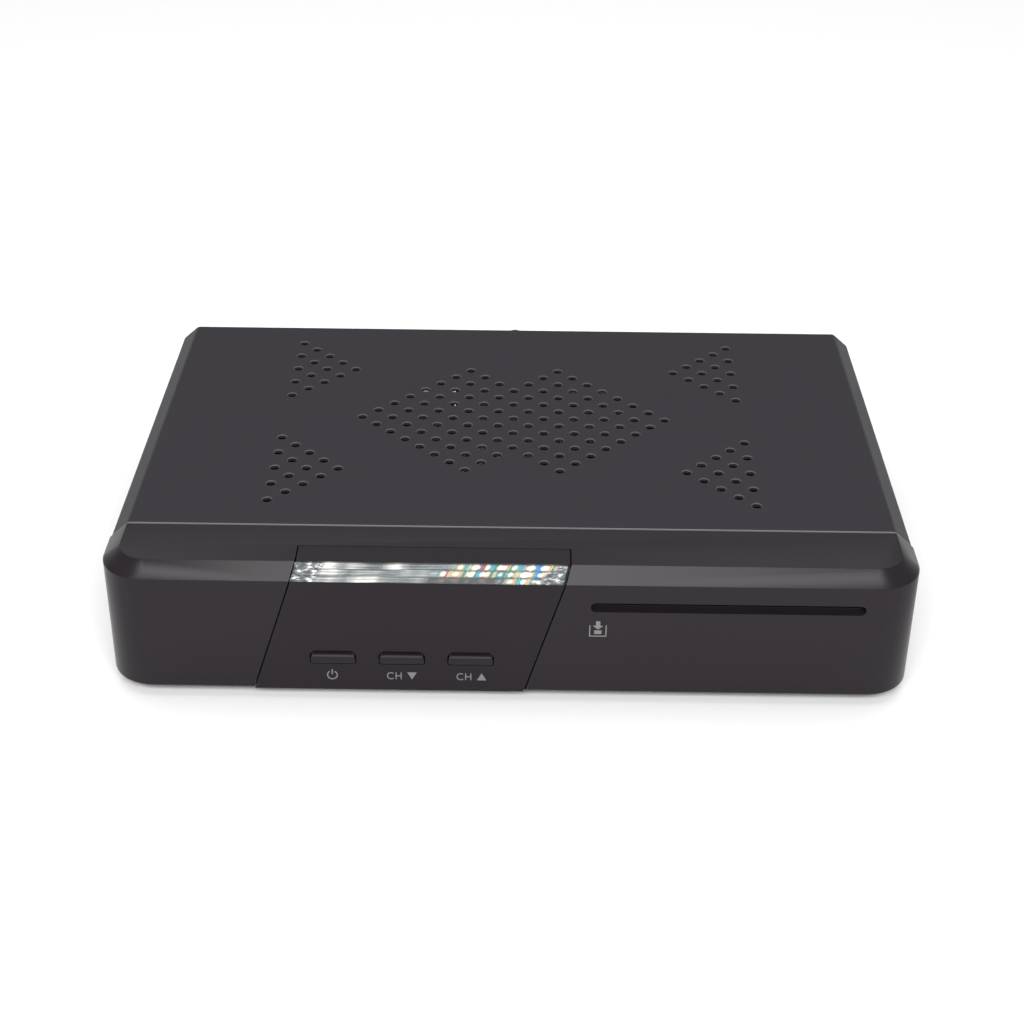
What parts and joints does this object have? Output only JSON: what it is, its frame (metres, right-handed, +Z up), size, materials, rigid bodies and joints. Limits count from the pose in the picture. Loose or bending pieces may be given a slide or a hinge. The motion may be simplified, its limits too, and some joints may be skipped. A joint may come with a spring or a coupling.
{
  "type": "satellite tv receiver",
  "caption": "Low box receiver: folded steel cover with vent holes, moulded front with sloping centre panel, light bar, push buttons and a card slot, sockets at the back.",
  "frame": {"origin": "middle of the overall box on the surface the feet stand on", "axes": "+X to the right seen from the front, +Y from the front to the back, +Z up"},
  "size_m": [0.169, 0.1256, 0.0327],
  "materials": {
    "cover_paint": "satin fine-grained paint",
    "tray_steel": "satin paint",
    "bezel_plastic": "fine-grained",
    "panel_plastic": "fine-grained",
    "clear_bar": "clear, ribbed",
    "bright_foil": "bright foil",
    "button_plastic": "fine-grained",
    "black_plastic": "moulded",
    "board_green": "solder mask",
    "led_lens": "clear resin",
    "dark_lens": "dark resin",
    "gold_contact": "gold plated",
    "brass_spacer": "turned",
    "zinc_screw": "zinc plated",
    "black_screw": "black plated",
    "foot_rubber": "matt",
    "sink_aluminium": "extruded",
    "capacitor_can": "bare top, sleeved side",
    "coil_copper": "lacquered winding",
    "plated_steel": "tin plated",
    "white_plastic": "moulded",
    "orange_plastic": "moulded",
    "ribbon_white": "flat film"
  },
  "bodies": {
    "case": {"top_cover": "cover_paint", "chassis_tray": "tray_steel", "front_bezel": "bezel_plastic", "centre_panel": "panel_plastic", "light_bar": "clear_bar", "light_bar_foil": "bright_foil", "tact_switches": "black_plastic", "front_board": "board_green", "indicator_leds": "led_lens", "infrared_receiver": "dark_lens", "main_board": "board_green", "card_board": "board_green", "card_reader": "black_plastic", "card_contacts": "gold_contact", "card_spacers": "brass_spacer", "board_header": "black_plastic", "board_screws": "zinc_screw", "bezel_screws": "zinc_screw", "cover_screw": "black_screw", "rubber_feet": "foot_rubber", "processor": "black_plastic", "heat_sink": "sink_aluminium", "memory_chips": "black_plastic", "capacitors": "capacitor_can", "power_coils": "coil_copper", "crystal": "plated_steel", "tuner_can": "plated_steel", "aerial_sockets": "plated_steel", "aerial_insulators": "white_plastic", "aerial_nuts": "plated_steel", "aerial_washers": "plated_steel", "hdmi_socket": "plated_steel", "network_socket": "plated_steel", "network_contacts": "gold_contact", "usb_socket": "plated_steel", "usb_tongue": "white_plastic", "digital_socket": "black_plastic", "digital_barrel": "gold_contact", "digital_core": "orange_plastic", "av_socket": "black_plastic", "power_socket": "black_plastic", "power_pin": "gold_contact", "ribbon_sockets": "white_plastic", "ribbon_cable": "ribbon_white"},
    "power_key": {"power_button": "button_plastic", "power_switch_stem": "black_plastic"},
    "channel_down_key": {"channel_down_button": "button_plastic", "channel_down_switch_stem": "black_plastic"},
    "channel_up_key": {"channel_up_button": "button_plastic", "channel_up_switch_stem": "black_plastic"}
  },
  "joints": [
    {"name": "power_press", "type": "slide", "parent": "case", "child": "power_key", "axis": [0, 1, 0], "range_m": [0, 0.0005], "stiffness_N_per_m": 600, "springref_m": -0.0005},
    {"name": "channel_down_press", "type": "slide", "parent": "case", "child": "channel_down_key", "axis": [0, 1, 0], "range_m": [0, 0.0005], "stiffness_N_per_m": 600, "springref_m": -0.0005},
    {"name": "channel_up_press", "type": "slide", "parent": "case", "child": "channel_up_key", "axis": [0, 1, 0], "range_m": [0, 0.0005], "stiffness_N_per_m": 600, "springref_m": -0.0005}
  ]
}
